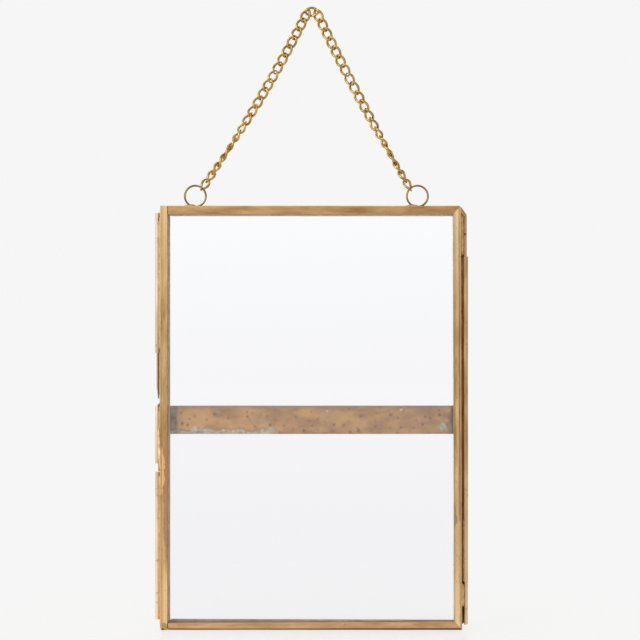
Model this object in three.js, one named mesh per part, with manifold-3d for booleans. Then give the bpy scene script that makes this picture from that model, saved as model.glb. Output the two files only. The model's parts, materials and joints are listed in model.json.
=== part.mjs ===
// Hanging double glass photo frame: two glazed brass leaves that open like a book, hung by a curb chain.
// Millimetres, +Z up, the front faces -Y. The origin is the point where a hook carries the chain.
import * as THREE from "three";
import { mergeVertices } from "three/addons/utils/BufferGeometryUtils.js";
import Module from "manifold-3d";

const wasm = await Module();
wasm.setup();

// Leaves: a folded brass channel round each pane
const LEAF_WIDTH = 137;
const LEAF_HEIGHT = 192.5;
const FACE_LEFT = 3.2;
const FACE_RIGHT = 3.8;
const FACE_TOP = 3.8;
const FACE_BOTTOM = 3.4;
const CHANNEL_WALL = 0.8;
const CHANNEL_LIP = 0.7;
const UPPER_CORNER_RADIUS = 1.8;
const LOWER_CORNER_RADIUS = 1.0;
const CORNER_SEAM = 0.3;
const LEAF_GAP = 0.4;

// Panes
const PANE_THICKNESS = 2;
const PANE_FACE_PLAY = 0.3;
const PANE_EDGE_PLAY = 0.5;

// Tubes and wires down both sides
const TUBE_DIAMETER = 2.6;
const TUBE_BORE = 2;
const TUBE_STANDOFF = 0.35;
const TUBE_JOINT = 0.5;
const SOLDER_INSET = 2;
const SOLDER_NEAR_SEAM = 0.35;
const SOLDER_FROM_SEAM = 1.1;
const WIRE_DIAMETER = 1.4;
const HINGE_TOP_INSET = 4.1;
const HINGE_BOTTOM_INSET = 2.5;
const HINGE_TOP_LENGTH = 18.7;
const HINGE_BOTTOM_LENGTH = 18.6;
const PEEN_DIAMETER = 2.3;
const PEEN_HEIGHT = 0.5;
const PEEN_PLAY = 0.3;
const CATCH_TOP_INSET = 3;
const CATCH_BOTTOM_INSET = 4.4;
const CATCH_TOP_LENGTH = 63.9;
const CATCH_WIRE_SHOWN = 20.8;
const CATCH_NOTCH = 1.9;
const CATCH_BEVEL = 6.2;
const BEVEL_RUN_ON = 0.2;
const CATCH_KNUCKLE_LENGTH = 27.6;
const CATCH_NAIL_GAP = 3.9;
const CATCH_TUBE_END = 1.5;
const CATCH_CUP_DEPTH = 3.2;
const CATCH_WIRE_DIAMETER = 1.2;
const CATCH_WIRE_LEAN = 0.25;
const CATCH_WIRE_PLAY = 0.3;

// Strip across the rear of the back leaf
const STRIP_HEIGHT = 13;
const STRIP_THICKNESS = 0.8;
const STRIP_END_INSET = 1;
const STRIP_DROP = 1.3;

// Rings on the back leaf's top edge
const RING_DIAMETER = 11;
const RING_WIRE = 1;
const RING_FOOT = 0.8;
const RING_LEFT_INSET = 15.6;
const RING_RIGHT_INSET = 20.1;
const RING_BEHIND_SEAM = 0.9;

// Curb chain
const LINK_WIRE = 0.95;
const LINK_LENGTH = 6.9;
const LINK_WIDTH = 4.85;
const LINK_TWIST = -Math.PI / 4;
const LINK_PLAY = 0.4;
const APEX_PLAY = 0.64;
const LEFT_SLACK = 0.1;
const LEFT_LINKS = 21;
const RIGHT_LINKS = 20;
const LEFT_SAG = THREE.MathUtils.degToRad(8);
const RIGHT_SAG = THREE.MathUtils.degToRad(5);
const LEFT_RING_LEAN = THREE.MathUtils.degToRad(44);
const RIGHT_RING_LEAN = THREE.MathUtils.degToRad(50);
const APEX_SLOPE = THREE.MathUtils.degToRad(-1.5);
const APEX_ROLL = THREE.MathUtils.degToRad(8);
const RING_ROLL = THREE.MathUtils.degToRad(45);
const FLAT_ROLL = Math.PI;
const ROLL_LINKS = 11;

// Facets
const TUBE_SIDES = 20;
const WIRE_SIDES = 16;
const RING_STEPS = 40;
const RING_SIDES = 8;
const LINK_STEPS = 14;
const LINK_SIDES = 6;
const CORNER_FACETS = 6;
const SETTLING_PASSES = 12;

// Sizes that follow
const HALF_WIDTH = LEAF_WIDTH / 2;
const SLOT_DEPTH = PANE_THICKNESS + 2 * PANE_FACE_PLAY;
const LEAF_DEPTH = SLOT_DEPTH + 2 * CHANNEL_LIP;
const LEAF_MIDDLE = (LEAF_GAP + LEAF_DEPTH) / 2;
const BACK_FACE = LEAF_GAP / 2 + LEAF_DEPTH;
const TUBE_X = HALF_WIDTH + TUBE_STANDOFF + TUBE_DIAMETER / 2;
const LINK_HALF_LENGTH = (LINK_LENGTH - LINK_WIRE) / 2;
const LINK_HALF_WIDTH = (LINK_WIDTH - LINK_WIRE) / 2;
const LINK_SEAT = LINK_WIRE + LINK_PLAY;
const APEX_SEAT = LINK_WIRE + APEX_PLAY;
const LINK_PITCH = 2 * LINK_HALF_LENGTH - LINK_SEAT;
const RING_LEFT_X = RING_LEFT_INSET - HALF_WIDTH;
const RING_RIGHT_X = HALF_WIDTH - RING_RIGHT_INSET;
const RING_MIDDLE = (RING_DIAMETER - RING_WIRE) / 2;
const RING_RISE = RING_DIAMETER / 2 - RING_FOOT;

const railBrass = new THREE.MeshStandardMaterial({ color: 0xb98d54, roughness: 0.4, metalness: 1 });
const tubeBrass = new THREE.MeshStandardMaterial({ color: 0xc2925d, roughness: 0.35, metalness: 1 });
const stripBrass = new THREE.MeshStandardMaterial({ color: 0xb08a62, roughness: 0.5, metalness: 1 });
const chainBrass = new THREE.MeshStandardMaterial({ color: 0xc9a35a, roughness: 0.3, metalness: 1 });
const clearGlass = new THREE.MeshStandardMaterial({
  color: 0xf5f8fa,
  roughness: 0.05,
  metalness: 0,
  transparent: true,
  opacity: 0.3,
});

const frame = new THREE.Group();

function addPiece(name, geometry, material) {
  const mesh = new THREE.Mesh(geometry, material);
  mesh.name = name;
  frame.add(mesh);
  return mesh;
}

// A closed geometry as a solid that can be cut or joined.
function solidFrom(geometry) {
  const bare = geometry.clone();
  bare.deleteAttribute("normal");
  bare.deleteAttribute("uv");
  const merged = mergeVertices(bare, 1e-4);
  const corners = [];
  for (let i = 0; i < merged.index.count; i += 3) {
    const [a, b, c] = merged.index.array.subarray(i, i + 3);
    if (a !== b && b !== c && c !== a) corners.push(a, b, c);
  }
  const vertProperties = merged.attributes.position.array;
  return new wasm.Manifold(new wasm.Mesh({ numProp: 3, vertProperties, triVerts: new Uint32Array(corners) }));
}

function geometryFrom(solid) {
  const mesh = solid.getMesh();
  const geometry = new THREE.BufferGeometry();
  geometry.setAttribute("position", new THREE.BufferAttribute(mesh.vertProperties, 3));
  geometry.setIndex(new THREE.BufferAttribute(mesh.triVerts, 1));
  return geometry;
}

function boxBetween(low, high) {
  const size = high.map((value, i) => value - low[i]);
  const middle = high.map((value, i) => (value + low[i]) / 2);
  return new THREE.BoxGeometry(...size).translate(...middle);
}

// An outline drawn in X and Z, given a depth along Y about a middle plane.
function plateFrom(outline, depth, middleY) {
  const options = { depth, bevelEnabled: false, curveSegments: CORNER_FACETS };
  const plate = new THREE.ExtrudeGeometry(outline, options);
  return plate.rotateX(Math.PI / 2).translate(0, middleY + depth / 2, 0);
}

// Top, right and bottom of a leaf, one strip folded at its right corners.
function rimOutline() {
  const outline = new THREE.Shape();
  const innerLeft = -HALF_WIDTH + FACE_LEFT + CORNER_SEAM;
  const innerRight = HALF_WIDTH - FACE_RIGHT;
  const innerTop = LEAF_HEIGHT - FACE_TOP;
  const upper = UPPER_CORNER_RADIUS;
  const lower = LOWER_CORNER_RADIUS;
  outline.moveTo(-HALF_WIDTH + CORNER_SEAM, 0);
  outline.lineTo(HALF_WIDTH - lower, 0);
  outline.absarc(HALF_WIDTH - lower, lower, lower, -Math.PI / 2, 0);
  outline.absarc(HALF_WIDTH - upper, LEAF_HEIGHT - upper, upper, 0, Math.PI / 2);
  outline.lineTo(innerLeft, LEAF_HEIGHT);
  outline.lineTo(innerLeft, innerTop);
  outline.lineTo(innerRight, innerTop);
  outline.lineTo(innerRight, FACE_BOTTOM);
  outline.lineTo(innerLeft, FACE_BOTTOM);
  return outline;
}

// Left side of a leaf: square at the top, mitred at the bottom.
function sideRailOutline() {
  const outline = new THREE.Shape();
  const innerLeft = -HALF_WIDTH + FACE_LEFT;
  outline.moveTo(-HALF_WIDTH, 0);
  outline.lineTo(innerLeft, FACE_BOTTOM);
  outline.lineTo(innerLeft, LEAF_HEIGHT);
  outline.lineTo(-HALF_WIDTH, LEAF_HEIGHT);
  return outline;
}

function addLeaf(name, middleY) {
  const slotX = HALF_WIDTH - CHANNEL_WALL;
  const slotTop = LEAF_HEIGHT - CHANNEL_WALL;
  const slotY = SLOT_DEPTH / 2;
  const slot = solidFrom(
    boxBetween([-slotX, middleY - slotY, CHANNEL_WALL], [slotX, middleY + slotY, slotTop]),
  );
  const channel = (outline) => {
    const plate = solidFrom(plateFrom(outline, LEAF_DEPTH, middleY));
    return geometryFrom(plate.subtract(slot));
  };
  addPiece(name + "_rim", channel(rimOutline()), railBrass);
  addPiece(name + "_side_rail", channel(sideRailOutline()), railBrass);
  const paneX = slotX - PANE_EDGE_PLAY;
  const paneLow = CHANNEL_WALL + PANE_EDGE_PLAY;
  const paneHigh = slotTop - PANE_EDGE_PLAY;
  const paneY = PANE_THICKNESS / 2;
  const pane = boxBetween([-paneX, middleY - paneY, paneLow], [paneX, middleY + paneY, paneHigh]);
  addPiece(name + "_pane", pane, clearGlass);
}

// A turned shape about +Z, from points of radius and height.
function turned(points, sides) {
  const profile = points.map(([radius, height]) => new THREE.Vector2(radius, height));
  return new THREE.LatheGeometry(profile, sides).rotateX(Math.PI / 2);
}

// A tube on one side of the frame (-1 left, 1 right), soldered to the front (-1) or back (1) leaf.
// Its bore may end in a floor above its lower end or in a ceiling below its upper end.
function sideTube(side, leaf, low, high, floor = 0, ceiling = 0) {
  const outer = TUBE_DIAMETER / 2;
  const bore = TUBE_BORE / 2;
  const length = high - low;
  const place = (geometry) => solidFrom(geometry.translate(side * TUBE_X, 0, low));
  const rod = place(turned([[0, 0], [outer, 0], [outer, length], [0, length]], TUBE_SIDES));
  const from = floor > 0 ? floor : -PEEN_HEIGHT;
  const to = ceiling > 0 ? length - ceiling : length + PEEN_HEIGHT;
  const core = [[0, from], [bore, from], [bore, to], [0, to]];
  const edges = [side * HALF_WIDTH, side * TUBE_X].sort((a, b) => a - b);
  const depths = [leaf * SOLDER_NEAR_SEAM, leaf * SOLDER_FROM_SEAM].sort((a, b) => a - b);
  const solder = solidFrom(
    boxBetween([edges[0], depths[0], low + SOLDER_INSET], [edges[1], depths[1], high - SOLDER_INSET]),
  );
  return rod.add(solder).subtract(place(turned(core, TUBE_SIDES)));
}

// A slanted cut through the outer side of a left-hand tube or wire about x, from its end at height z,
// run on past both sides.
function endBevel(x, diameter, z, rise) {
  const inner = new THREE.Vector2(x + diameter / 2, z);
  const outer = new THREE.Vector2(x - diameter / 2, z + rise);
  const along = outer.clone().sub(inner).multiplyScalar(BEVEL_RUN_ON);
  inner.sub(along);
  outer.add(along);
  const wedge = new THREE.Shape([inner, outer, new THREE.Vector2(outer.x, inner.y)]);
  return solidFrom(plateFrom(wedge, 2 * TUBE_DIAMETER, 0));
}

function addHinge() {
  const low = HINGE_BOTTOM_INSET;
  const high = LEAF_HEIGHT - HINGE_TOP_INSET;
  const lowerEnd = low + HINGE_BOTTOM_LENGTH;
  const upperEnd = high - HINGE_TOP_LENGTH;
  const knuckle = (name, leaf, from, to) => {
    addPiece(name, geometryFrom(sideTube(1, leaf, from, to)), tubeBrass);
  };
  knuckle("front_hinge_knuckle_bottom", -1, low, lowerEnd);
  knuckle("back_hinge_knuckle", 1, lowerEnd + TUBE_JOINT, upperEnd - TUBE_JOINT);
  knuckle("front_hinge_knuckle_top", -1, upperEnd, high);
  const wire = WIRE_DIAMETER / 2;
  const head = PEEN_DIAMETER / 2;
  const neck = PEEN_HEIGHT + PEEN_PLAY;
  const length = high - low;
  const pin = turned(
    [
      [0, -neck],
      [head, -neck],
      [head, -PEEN_PLAY],
      [wire, -PEEN_PLAY],
      [wire, length + PEEN_PLAY],
      [head, length + PEEN_PLAY],
      [head, length + neck],
      [0, length + neck],
    ],
    WIRE_SIDES,
  );
  addPiece("hinge_pin", pin.translate(TUBE_X, 0, low), tubeBrass);
}

function addCatch() {
  const low = CATCH_BOTTOM_INSET;
  const high = LEAF_HEIGHT - CATCH_TOP_INSET;
  const topEnd = high - CATCH_TOP_LENGTH;
  const tip = topEnd - CATCH_WIRE_SHOWN;
  const knuckleHigh = tip - CATCH_NOTCH;
  const knuckleLow = knuckleHigh - CATCH_KNUCKLE_LENGTH;
  const bottomEnd = knuckleLow - CATCH_NAIL_GAP;
  const cupFloor = bottomEnd - low - CATCH_CUP_DEPTH;
  const mouth = endBevel(-TUBE_X, TUBE_DIAMETER, knuckleHigh, -CATCH_BEVEL);
  const top = sideTube(-1, 1, topEnd, high, 0, CATCH_TUBE_END);
  const knuckle = sideTube(-1, -1, knuckleLow, knuckleHigh).subtract(mouth);
  const bottom = sideTube(-1, 1, low, bottomEnd, cupFloor);
  addPiece("back_catch_tube_top", geometryFrom(top), tubeBrass);
  addPiece("front_catch_knuckle", geometryFrom(knuckle), tubeBrass);
  addPiece("back_catch_tube_bottom", geometryFrom(bottom), tubeBrass);
  const wire = CATCH_WIRE_DIAMETER / 2;
  const wireX = CATCH_WIRE_LEAN - TUBE_X;
  const length = high - CATCH_TUBE_END - CATCH_WIRE_PLAY - tip;
  const rod = turned([[0, 0], [wire, 0], [wire, length], [0, length]], WIRE_SIDES);
  const filed = endBevel(wireX, CATCH_WIRE_DIAMETER, tip, CATCH_BEVEL);
  const pin = solidFrom(rod.translate(wireX, 0, tip)).subtract(filed);
  addPiece("catch_pin", geometryFrom(pin), tubeBrass);
}

function addStrip() {
  const middle = LEAF_HEIGHT / 2 - STRIP_DROP;
  const end = HALF_WIDTH - STRIP_END_INSET;
  const half = STRIP_HEIGHT / 2;
  const strip = boxBetween(
    [-end, BACK_FACE, middle - half],
    [end, BACK_FACE + STRIP_THICKNESS, middle + half],
  );
  addPiece("cross_strip", strip, stripBrass);
}

function addRing(name, x) {
  const torus = new THREE.TorusGeometry(RING_MIDDLE, RING_WIRE / 2, RING_SIDES, RING_STEPS);
  torus.rotateX(Math.PI / 2).translate(x, RING_BEHIND_SEAM, LEAF_HEIGHT + RING_RISE);
  const below = boxBetween(
    [x - RING_DIAMETER, RING_BEHIND_SEAM - RING_WIRE, LEAF_HEIGHT - RING_DIAMETER],
    [x + RING_DIAMETER, RING_BEHIND_SEAM + RING_WIRE, LEAF_HEIGHT],
  );
  addPiece(name, geometryFrom(solidFrom(torus).subtract(solidFrom(below))), chainBrass);
}

// Centre line of a curb link along X: an oval with round ends, twisted so that its neighbours lie flat.
class CurbLinkPath extends THREE.Curve {
  getPoint(t, target = new THREE.Vector3()) {
    const turn = 2 * Math.PI * t;
    const straight = LINK_HALF_LENGTH - LINK_HALF_WIDTH;
    const x = LINK_HALF_WIDTH * Math.cos(turn) + straight * Math.sin((Math.PI / 2) * Math.cos(turn));
    const y = LINK_HALF_WIDTH * Math.sin(turn);
    const twist = (LINK_TWIST * x) / LINK_HALF_LENGTH;
    return target.set(x, y * Math.cos(twist), y * Math.sin(twist));
  }
}

// A leg's links from its ring up: their turns from the chord, and the reach from first to last wire.
function legShape(links, sag, pitch) {
  const turns = Array.from({ length: links }, (_, k) => sag * (k / (links - 1) - 0.5));
  const reach = new THREE.Vector2();
  turns.forEach((turn, k) => {
    const step = k < links - 1 ? pitch : 2 * LINK_HALF_LENGTH;
    reach.add(new THREE.Vector2(step, 0).rotateAround(new THREE.Vector2(), turn));
  });
  return { turns, reach, pitch };
}

// The upper of the two points at given distances from two centres, in X and Z.
function upperMeeting(left, leftReach, right, rightReach) {
  const across = right.clone().sub(left);
  const span = across.length();
  const along = (leftReach ** 2 - rightReach ** 2 + span ** 2) / (2 * span);
  const rise = Math.sqrt(leftReach ** 2 - along ** 2);
  const unit = across.divideScalar(span);
  const upwards = new THREE.Vector2(-unit.y, unit.x);
  return left.clone().addScaledVector(unit, along).addScaledVector(upwards, rise);
}

const wayAt = (angle) => new THREE.Vector2(Math.cos(angle), Math.sin(angle));

// Places of the links: the wire where each leg starts in its ring, every link's direction, and the apex link.
function solveChain() {
  const seat = RING_MIDDLE - (RING_WIRE + LINK_WIRE) / 2 - LINK_PLAY;
  const startAt = (x, lean) =>
    new THREE.Vector2(x + seat * Math.sin(lean), LEAF_HEIGHT + RING_RISE + seat * Math.cos(lean));
  const left = legShape(LEFT_LINKS, LEFT_SAG, LINK_PITCH - LEFT_SLACK);
  const right = legShape(RIGHT_LINKS, -RIGHT_SAG, LINK_PITCH);
  left.start = startAt(RING_LEFT_X, LEFT_RING_LEAN);
  right.start = startAt(RING_RIGHT_X, -RIGHT_RING_LEAN);
  const apexWay = wayAt(APEX_SLOPE);
  left.last = wayAt(Math.PI / 2 - LEFT_RING_LEAN);
  right.last = wayAt(Math.PI / 2 + RIGHT_RING_LEAN);
  let apex;
  // The seats in the apex link depend on the legs' slopes, and a few passes settle them.
  for (let pass = 0; pass < SETTLING_PASSES; pass++) {
    const leftSeat = left.last.clone().add(apexWay).setLength(APEX_SEAT);
    const rightSeat = right.last.clone().sub(apexWay).setLength(APEX_SEAT);
    left.centre = left.start.clone().addScaledVector(apexWay, LINK_HALF_LENGTH).sub(leftSeat);
    right.centre = right.start.clone().addScaledVector(apexWay, -LINK_HALF_LENGTH).sub(rightSeat);
    apex = upperMeeting(left.centre, left.reach.length(), right.centre, right.reach.length());
    for (const leg of [left, right]) {
      const chord = apex.clone().sub(leg.centre).angle() - leg.reach.angle();
      leg.ways = leg.turns.map((turn) => wayAt(chord + turn));
      leg.last = leg.ways.at(-1);
    }
  }
  return { left, right, apex, apexWay };
}

function addLink(number, centre, way, roll) {
  const path = new CurbLinkPath();
  const link = new THREE.TubeGeometry(path, LINK_STEPS, LINK_WIRE / 2, LINK_SIDES, true);
  const mesh = addPiece("link_" + String(number).padStart(2, "0"), link, chainBrass);
  const along = new THREE.Vector3(way.x, 0, way.y);
  const front = new THREE.Vector3(0, -1, 0);
  const across = front.clone().cross(along);
  mesh.quaternion.setFromRotationMatrix(new THREE.Matrix4().makeBasis(along, across, front));
  mesh.rotateX(roll);
  mesh.position.set(centre.x, RING_BEHIND_SEAM, centre.y);
}

// Each leg stands edge on where it passes through its ring and rolls flat over its first links.
function addLeg(leg, numberOf) {
  const wire = leg.start.clone();
  leg.ways.forEach((way, k) => {
    const roll = RING_ROLL + (FLAT_ROLL - RING_ROLL) * Math.min(k / ROLL_LINKS, 1);
    const extra = k === leg.ways.length - 1 ? -APEX_ROLL : 0;
    addLink(numberOf(k), wire.clone().addScaledVector(way, LINK_HALF_LENGTH), way, roll + extra);
    wire.addScaledVector(way, leg.pitch);
  });
}

function addChain() {
  const { left, right, apex, apexWay } = solveChain();
  const links = LEFT_LINKS + 1 + RIGHT_LINKS;
  addLeg(left, (k) => k + 1);
  addLink(LEFT_LINKS + 1, apex, apexWay, 0);
  addLeg(right, (k) => links - k);
  return apex;
}

addLeaf("front", -LEAF_MIDDLE);
addLeaf("back", LEAF_MIDDLE);
addHinge();
addCatch();
addStrip();
addRing("ring_left", RING_LEFT_X);
addRing("ring_right", RING_RIGHT_X);
const apex = addChain();

// The hook touches the underside of the apex link, and that point is the origin.
frame.position.set(-apex.x, -RING_BEHIND_SEAM, LINK_WIDTH / 2 - apex.y);

const photoFrame = new THREE.Group();
photoFrame.add(frame);

export default photoFrame;
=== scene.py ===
# Hanging double glass photo frame: two glazed brass leaves, side tubes, rear strip, rings and curb chain.
import json
import math

import bmesh
import bpy
import numpy
from mathutils import Matrix, Vector


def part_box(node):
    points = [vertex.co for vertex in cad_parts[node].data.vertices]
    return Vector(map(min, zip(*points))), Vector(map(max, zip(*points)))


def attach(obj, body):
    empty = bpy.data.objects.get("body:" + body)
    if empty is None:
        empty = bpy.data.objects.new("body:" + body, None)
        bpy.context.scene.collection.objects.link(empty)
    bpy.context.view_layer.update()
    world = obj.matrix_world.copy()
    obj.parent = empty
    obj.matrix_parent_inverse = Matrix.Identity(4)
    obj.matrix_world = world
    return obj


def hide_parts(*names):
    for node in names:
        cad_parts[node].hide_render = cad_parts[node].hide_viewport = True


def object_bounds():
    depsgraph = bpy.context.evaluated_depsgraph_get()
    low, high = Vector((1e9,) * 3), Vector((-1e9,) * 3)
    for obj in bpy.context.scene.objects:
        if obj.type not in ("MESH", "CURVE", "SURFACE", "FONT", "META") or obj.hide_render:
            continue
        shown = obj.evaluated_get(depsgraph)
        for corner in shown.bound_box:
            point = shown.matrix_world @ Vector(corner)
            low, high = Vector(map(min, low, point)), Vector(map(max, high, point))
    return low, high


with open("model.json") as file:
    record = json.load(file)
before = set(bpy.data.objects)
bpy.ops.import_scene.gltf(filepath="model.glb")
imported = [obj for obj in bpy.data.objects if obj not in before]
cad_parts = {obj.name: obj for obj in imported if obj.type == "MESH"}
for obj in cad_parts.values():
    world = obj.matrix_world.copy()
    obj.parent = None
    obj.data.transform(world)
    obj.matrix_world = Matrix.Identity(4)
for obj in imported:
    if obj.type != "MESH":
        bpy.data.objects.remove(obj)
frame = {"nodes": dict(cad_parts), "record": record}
cad_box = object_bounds()

MM = 0.001

# Photograph's view
IMAGE_PIXELS = 640
SENSOR = 36.0
PIXEL_AT_FRONT = 0.4533 * MM
CAMERA_DISTANCE = 780 * MM
LEAF_CENTRE_PIXEL = 311.25
LEAF_BOTTOM_PIXEL = 630.2

# Shaping: directions as cosines, angles in degrees
FACING = 0.6
NEARLY_HALF = 0.49
TURNED_FROM = 0.1
TURNED_TO = 0.75
SMOOTH_ANGLE = 40
ON_LINE = 0.01 * MM
LUMP_SHIFT = (0.037, 0.011, 0.023)

# Channels
CHANNEL_WALL = 0.8 * MM
CHANNEL_LIP = 0.7 * MM
SIDE_FOLD = 0.6 * MM
END_FOLD = 0.8 * MM
EDGE_ROLL = 0.42 * MM
EDGE_ROLL_BEHIND_FACE = 1.8 * MM
EDGE_ROLL_WAVE = 0.16 * MM
LIP_EDGE = 0.12 * MM
FOLD_STEPS = 6
LIP_STEPS = 2
CHANNEL_SKIN = 0.04 * MM
CHANNEL_WAVE = 0.08 * MM
CHANNEL_WAVE_LENGTH = 13 * MM
CHANNEL_STEP = 1.6 * MM
FRONT_FACES = {"left": 3.2 * MM, "right": 3.5 * MM, "top": 3.8 * MM, "bottom": 3.3 * MM}
BACK_FACES = {"left": 3.95 * MM, "right": 3.4 * MM, "top": 4.4 * MM, "bottom": 4.0 * MM}
FRONT_HINGE_GAP = 0.6 * MM
HINGE_SIDE_LEAN = 0.6 * MM
FRONT_FOOT_TAPER = 0.6 * MM
BACK_FOOT_TAPER = -0.45 * MM
CREASE_FROM_EDGE = 0.85 * MM
CREASE_HALF = 0.22 * MM
CREASE_DEPTH = 0.45 * MM
CREASE_SHARE = 0.74
CREASE_FACING = 0.5
CORNER_SEAM = 0.3 * MM
MARGIN_WIDTH = 1.4 * MM
CORNER_RADIUS = 1.8 * MM
LOWER_CORNER_RADIUS = 0.8 * MM
UPPER_CUTS = (45, 67.5)
UPRIGHT_CUTS = (22.5, 45)
LOWER_CUTS = (202.5, 225, 247.5)

# Tubes
TUBE_RADIUS = 1.3 * MM
LATCH_TUBE_RADIUS = 1.15 * MM
LATCH_TUBE_INWARDS = 0.1 * MM
TOP_KNUCKLE_RADIUS = 0.85 * MM
TOP_KNUCKLE_INWARDS = 0.15 * MM
TOP_KNUCKLE_SOLDER = (0.0, 1.12)
LOW_KNUCKLE_RADIUS = 1.0 * MM
LOW_KNUCKLE_INWARDS = -0.2 * MM
LOW_KNUCKLE_SOLDER = (0.4, 1.0)
KNUCKLE_REACH = 0.35 * MM
LOW_KNUCKLE_REACH = 0.45 * MM
TUBE_WALL = 0.2 * MM
TUBE_SIDES = 36
TUBE_STEP = 2.5 * MM
TUBE_DENT = 0.06 * MM
TUBE_DENT_LENGTH = 9 * MM
WIRE_SIDES = 20
WIRE_BEVEL = 6.2 * MM
WIRE_TIP = 0.4 * MM
KNUCKLE_BEVEL = 1.8 * MM
BEAD_SIDES = 14
BEAD_STEP = 0.7 * MM
BEAD_END = 0.1 * MM
BEAD_END_SHARE = 0.3
SOLDER_GRIP = 0.32 * MM
SOLDER_LUMP = 0.5 * MM
SOLDER_LUMP_LENGTH = 3.2 * MM
SOLDER_INSET = 0.3 * MM
SOLDER_FROM_SEAM = 0.72 * MM
SOLDER_CLEAR = 0.08 * MM
FLUX_FROM_SEAM = 0.3 * MM
FLUX_LUMP = 0.1 * MM
SMEAR_HALF = (1.1 * MM, 0.85 * MM, 10 * MM)
SMEAR_CENTRE = (-69.1 * MM, -3.35 * MM, -197.0 * MM)
SMEAR_TILT = math.radians(-3)
SMEAR_LUMP = 0.7 * MM
SMEAR_STEPS = (24, 48)
CORNER_SOLDER_HALF = (1.1 * MM, 1.3 * MM, 2.7 * MM)
CORNER_SOLDER_FROM_CORNER = (-0.4 * MM, -2.0 * MM, -2.3 * MM)
CORNER_SOLDER_TILT = math.radians(-34)
CORNER_SOLDER_LUMP = 0.35 * MM
CORNER_SOLDER_STEPS = (28, 36)
RUN_INSET = 1 * MM
CATCH_RUN_RADIUS = 0.45 * MM
CATCH_RUN_OUT = 0.5 * MM
CATCH_RUN_BACK = 1.6 * MM
HINGE_RUN_RADIUS = 0.75 * MM
HINGE_RUN_OUT = 0.7 * MM
HINGE_RUN_BACK = 2.4 * MM
HINGE_FILL_RADIUS = 0.3 * MM
HINGE_FILL_PLACE = (1.2 * MM, math.radians(230))
HINGE_FILL_SHARE = 0.19
LATCH_FILL_RADIUS = 0.3 * MM
LATCH_FILL_PLACE = (1.28 * MM, math.radians(-45))
DRIP_PLACE = (-69.65 * MM, -2.35 * MM)
DRIP_RADIUS = 0.42 * MM
DRIP_DOWN = 3.6 * MM
DRIP_UP = 2.0 * MM
WIRE_DENT = 0.04 * MM
HINGE_WIRE_RADIUS = 0.45 * MM
HEAD_HEIGHT = 0.45 * MM
HEAD_WIDER = 1.15
HEAD_ROUNDING = 0.7

# Strip
STRIP_EDGE = 0.2 * MM
STRIP_EDGE_STEPS = 2
STRIP_STEP = 2.0 * MM
STRIP_WAVE = 0.12 * MM
STRIP_WAVE_LENGTH = 18 * MM
STRIP_BEAD = 0.3 * MM
FLUX_DROPS = (
    (59.4 * MM, -3.4 * MM, 2.1 * MM),
    (7.7 * MM, 3.4 * MM, 0.9 * MM),
    (39.9 * MM, 4.6 * MM, 0.8 * MM),
    (-53.0 * MM, -4.2 * MM, 2.4 * MM),
)

# Rings and chain
RING_RADIUS = 4.8 * MM
RING_WIRE = 0.9 * MM
RING_RISE = 4.6 * MM
RING_STEPS = 72
RING_SIDES = 16
PAD_HALF = (2.7 * MM, 0.75 * MM, 0.9 * MM)
PAD_FROM_MIDDLE = -2.3 * MM
PAD_LUMP = 0.3 * MM
PAD_LUMP_LENGTH = 2.5 * MM
PAD_STEPS = (28, 14)
LINK_WIRE = 1.15 * MM
LINK_HALF_LENGTH = 2.975 * MM
LINK_HALF_WIDTH = 1.8 * MM
LINK_TWIST = -math.pi / 2
LINK_STEPS = 44
LINK_ROUNDING = 3
LINK_SMOOTH_ANGLE = 60
LINK_DIGITS = 7
BOW_FROM = 0.4
BOW_WORN = 0.65

# Patterns in the finishes
STREAK = 3 * MM
STREAK_RELIEF = 0.06 * MM
HEAT_PATCH = 9 * MM
PIT = 1.3 * MM
PITTED = "#5f4424"
DARK_SPOT = "#4a2c12"
DARK_SPOT_CORE = 0.5
STAIN_LINE = "#9a6f48"
SPILL_EDGE = 4 * MM
SPILL_SHIFT = 2.5 * MM
# Reach of the painted shade that darkens towards the hinge side
RIGHT_SHADE_FROM = -40 * MM
RIGHT_SHADE_TO = 50 * MM
SOLDER_CLOUD = 2.5 * MM
SOLDER_GRIT = 1.2 * MM
SOLDER_RELIEF = 0.1 * MM
STRIP_CLOUD = 6 * MM
STRIP_PATCH = 14 * MM
STRIP_GRIT = 1.6 * MM
STRIP_RELIEF = 0.15 * MM
STRIP_GRAIN = (0.45, 1, 1)
SPECK_SPACING = 3.7 * MM
RAGGED_EDGE = 5 * MM
RAGGED_SHIFT = 6 * MM
TIN_ENDS = (61.6 * MM, 63 * MM)
TIN_TOP = (4.7 * MM, 6.1 * MM)
FLUX_END = (-14 * MM, -20 * MM)
FLUX_SHORE = (-3.7 * MM, -4.4 * MM)
FLUX_CRUST = (-4.4 * MM, -4.9 * MM)
DROP_EDGE = (1.2, 0.8)
SATIN = (0.3, 0.5)
DULL_SATIN = (0.4, 0.55)
UPRIGHT_GRAIN = (1, 1, 0.16)
LEVEL_GRAIN = (0.16, 1, 1)
DRAWN_GRAIN = (1, 1, 0.12)

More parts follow.
